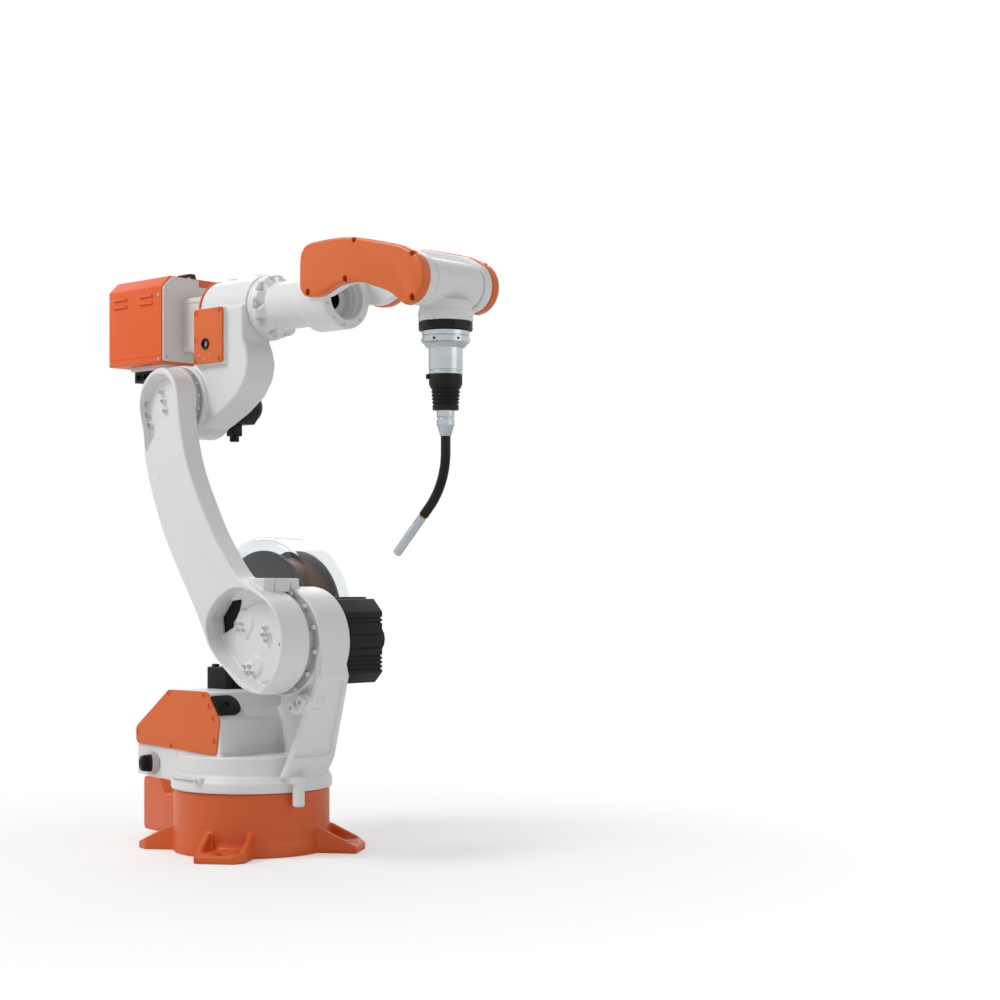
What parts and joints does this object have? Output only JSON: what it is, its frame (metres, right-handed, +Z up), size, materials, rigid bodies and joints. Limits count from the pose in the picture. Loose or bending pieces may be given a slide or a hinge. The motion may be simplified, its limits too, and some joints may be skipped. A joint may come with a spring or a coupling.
{
  "type": "arc welding robot arm",
  "caption": "Six-axis arc-welding robot arm with a wire reel, a wire feeder box and a swan-neck torch.",
  "frame": {"origin": "on the floor, on the axis of the first joint", "axes": "+X the way the arm reaches in the stored pose, -Y the side of the lower arm, +Z up"},
  "size_m": [1.0083, 0.5226, 1.2539],
  "materials": {
    "white_paint": "satin",
    "orange_paint": "satin",
    "black_motor": "matte",
    "black_plastic": "matte",
    "black_rubber": "matte",
    "clear_plastic": "clear gloss",
    "satin_steel": "satin",
    "brass": "polished"
  },
  "bodies": {
    "base": {"base_casting": "orange_paint", "rear_connector_box": "orange_paint"},
    "turret": {"turret_casting": "white_paint", "turret_cover_near": "orange_paint", "turret_cover_far": "orange_paint", "j2_flange_ring": "white_paint", "j2_stop_bumper": "black_rubber", "j1_motor": "black_motor", "j2_motor": "black_motor", "j2_encoder": "black_motor", "reel_bracket": "white_paint", "reel_cover": "clear_plastic"},
    "reel": {"wire_reel": "black_plastic"},
    "lower_arm": {"lower_arm_casting": "white_paint", "elbow_ring": "white_paint", "j2_stop_block": "white_paint"},
    "elbow": {"elbow_casting": "white_paint", "elbow_cover": "orange_paint", "elbow_port": "black_plastic", "j3_motor": "black_motor", "feeder_shell": "orange_paint", "feeder_front_panel": "white_paint", "feeder_mount": "white_paint", "feeder_rail": "white_paint", "feeder_socket_bar": "black_plastic"},
    "forearm": {"forearm_casting": "white_paint", "fork_cover_near": "orange_paint", "fork_cover_far": "orange_paint"},
    "wrist": {"wrist_casting": "white_paint"},
    "torch": {"torch_flange": "black_plastic", "torch_collar": "satin_steel", "torch_boot": "black_rubber", "torch_socket": "satin_steel", "swan_neck": "black_plastic", "nozzle_insulator": "brass", "torch_nozzle": "satin_steel"}
  },
  "joints": [
    {"name": "j1_turn", "type": "hinge", "parent": "base", "child": "turret", "pos_m": [0, 0, 0.15], "axis": [0, 0, 1], "range_deg": [-177, 153]},
    {"name": "j2_lower_arm", "type": "hinge", "parent": "turret", "child": "lower_arm", "pos_m": [0.17, -0.1, 0.447], "axis": [0, 1, 0], "range_deg": [-48, 105]},
    {"name": "j3_elbow", "type": "hinge", "parent": "lower_arm", "child": "elbow", "pos_m": [-0.12767, -0.09, 0.9564], "axis": [0, -1, 0], "range_deg": [-17, 125]},
    {"name": "j4_forearm", "type": "hinge", "parent": "elbow", "child": "forearm", "pos_m": [0.06, 0, 1.1504], "axis": [1, 0, 0], "range_deg": [-165, 165]},
    {"name": "j5_wrist", "type": "hinge", "parent": "forearm", "child": "wrist", "pos_m": [0.57233, 0, 1.1504], "axis": [0, 1, 0], "range_deg": [-205, 25]},
    {"name": "j6_torch", "type": "hinge", "parent": "wrist", "child": "torch", "pos_m": [0.57233, 0, 1.0743], "axis": [0, 0, 1], "range_deg": [-220, 220]},
    {"name": "reel_turn", "type": "hinge", "parent": "turret", "child": "reel", "pos_m": [-0.16, 0.22, 0.49], "axis": [0, 1, 0], "continuous": true}
  ]
}
